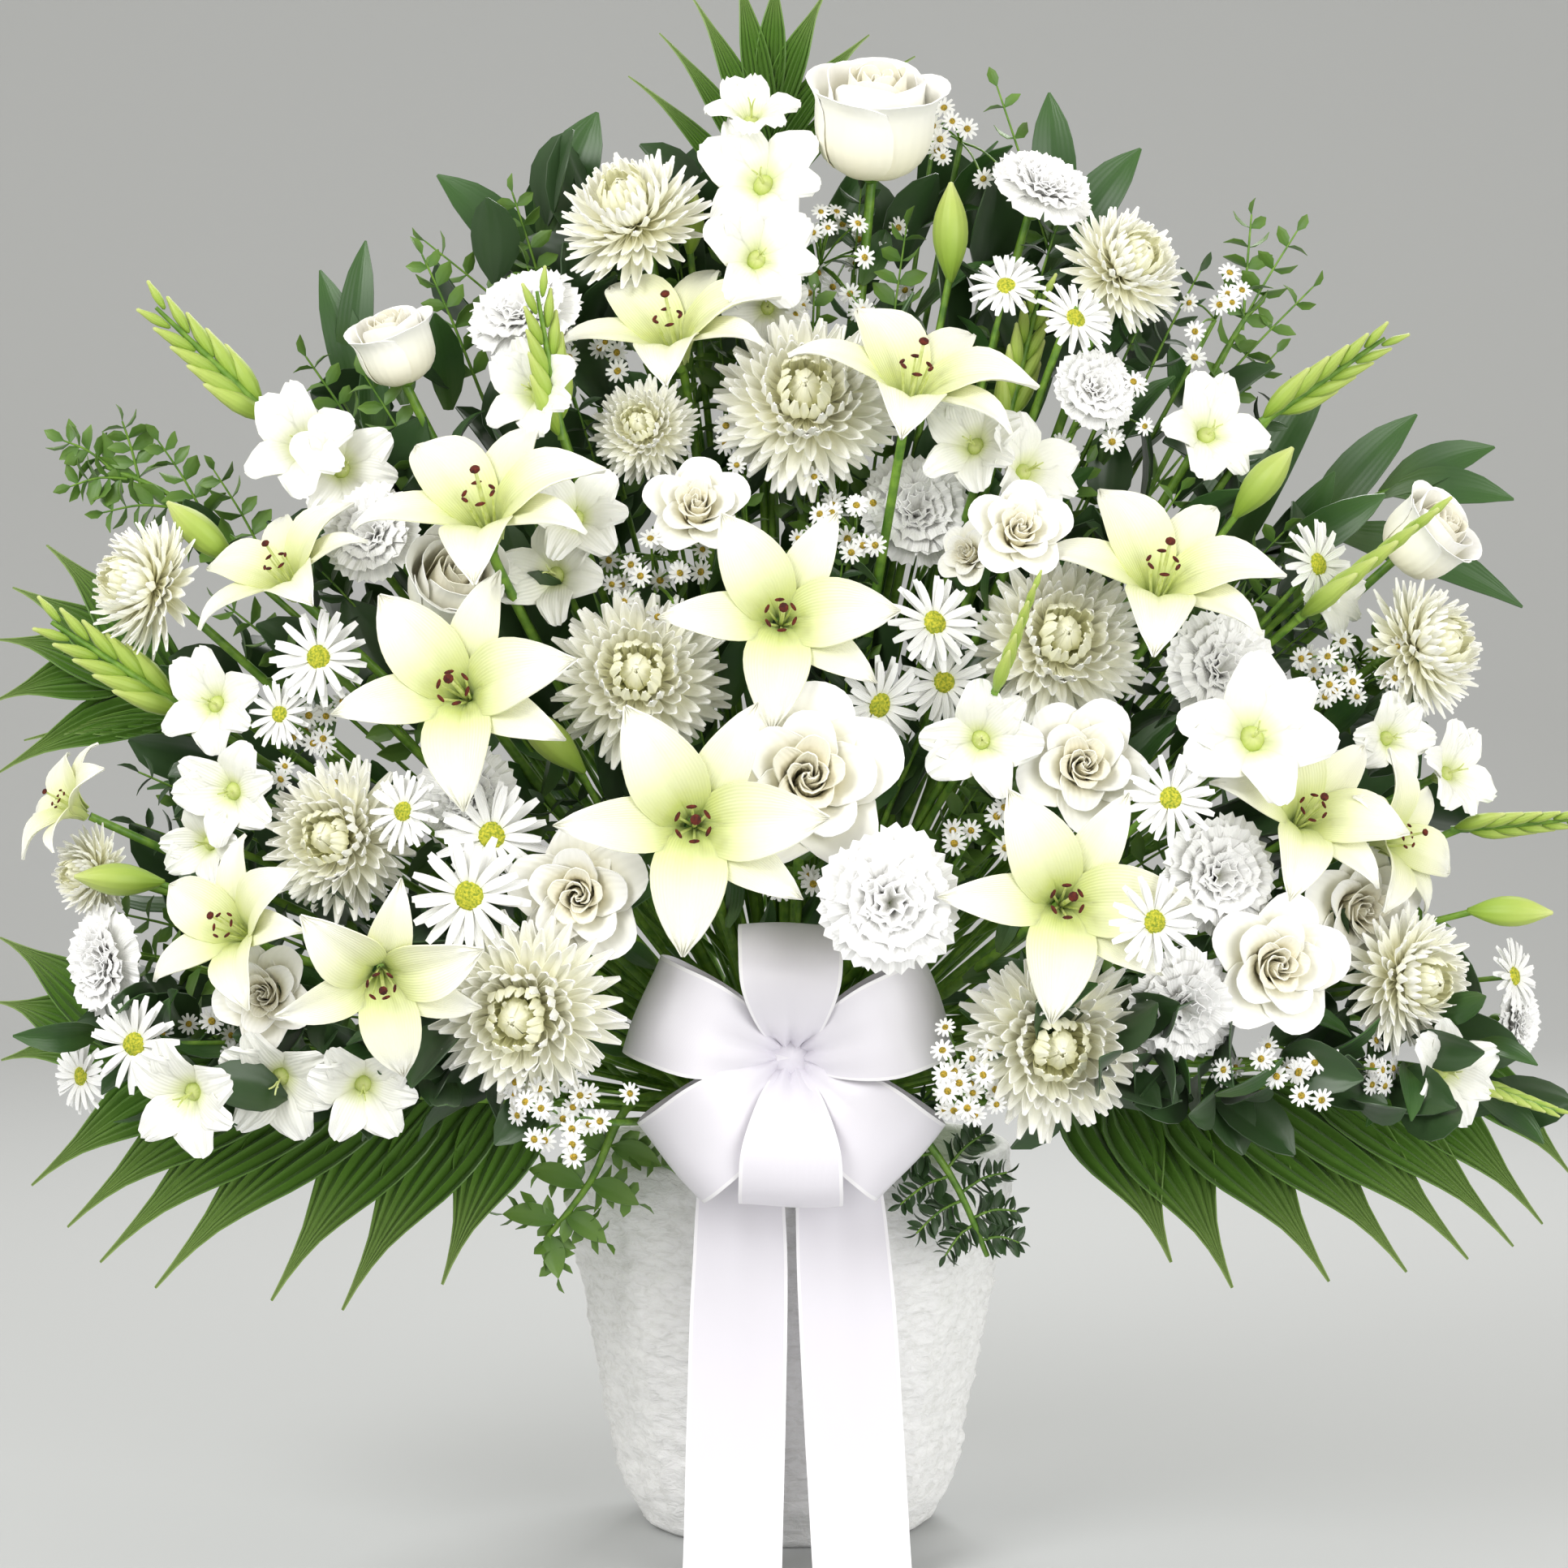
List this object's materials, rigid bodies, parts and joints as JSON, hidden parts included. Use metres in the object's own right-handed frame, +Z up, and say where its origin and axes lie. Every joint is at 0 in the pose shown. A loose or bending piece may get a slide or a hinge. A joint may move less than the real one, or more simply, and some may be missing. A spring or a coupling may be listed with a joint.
{
  "type": "funeral vase arrangement",
  "caption": "One-sided fan of white lilies, mums, roses, carnations, daisies and gladioli with palm, in a white fluted vase with a satin bow.",
  "frame": {"origin": "middle of the vase's foot, on the surface it stands on", "axes": "+Z up, the flowers and bow face -Y, +X to the viewer's right"},
  "size_m": [0.9556, 0.457, 0.9594],
  "materials": {
    "pulp": "white pressed paper pulp, crinkled and matte",
    "foam": "wet green floral foam, fine open cells",
    "satin": "white satin ribbon with a faint lavender shade",
    "leaf": "semi-gloss fresh green leaf",
    "cream_petal": "cream-white petal, soft sheen, yellow-green throat",
    "white_petal": "pure white petal, soft and matte"
  },
  "bodies": {
    "root": {"asters_centre": "white_petal", "asters_low_left": "white_petal", "asters_right": "white_petal", "asters_top": "white_petal", "bow": "satin", "bow_tails": "satin", "carnation_centre": "white_petal", "carnation_left": "white_petal", "carnation_right": "white_petal", "carnation_upper_left": "white_petal", "carnation_upper_right": "white_petal", "daisy_centre": "white_petal", "daisy_left": "white_petal", "daisy_right": "white_petal", "daisy_top_right": "white_petal", "daisy_upper_left": "white_petal", "fern_rim_right": "leaf", "floral_foam": "foam", "gladiolus_far_left": "white_petal", "gladiolus_far_right": "white_petal", "gladiolus_left": "white_petal", "gladiolus_low_left": "white_petal", "gladiolus_right": "white_petal", "gladiolus_top": "white_petal", "gladiolus_upper_left": "white_petal", "gladiolus_upper_right": "white_petal", "leaves_left": "leaf", "leaves_right": "leaf", "lily_centre": "cream_petal", "lily_left": "cream_petal", "lily_low_centre": "cream_petal", "lily_low_left": "cream_petal", "lily_low_right": "cream_petal", "lily_right": "cream_petal", "lily_top_left": "cream_petal", "lily_top_right": "cream_petal", "lily_upper_left": "cream_petal", "lily_upper_right": "cream_petal", "mum_centre": "cream_petal", "mum_far_right": "cream_petal", "mum_left": "cream_petal", "mum_low_left": "cream_petal", "mum_low_right": "cream_petal", "mum_right": "cream_petal", "mum_top_left": "cream_petal", "mum_upper_centre": "cream_petal", "palm_left": "leaf", "palm_right": "leaf", "palm_top": "leaf", "rose_centre": "cream_petal", "rose_far_right": "cream_petal", "rose_low_centre": "cream_petal", "rose_low_left": "cream_petal", "rose_right": "cream_petal", "rose_right_edge": "cream_petal", "rose_top": "cream_petal", "rose_upper_left": "cream_petal", "salal_back": "leaf", "sprig_rim_left": "leaf", "vase": "pulp"}
  },
  "joints": []
}
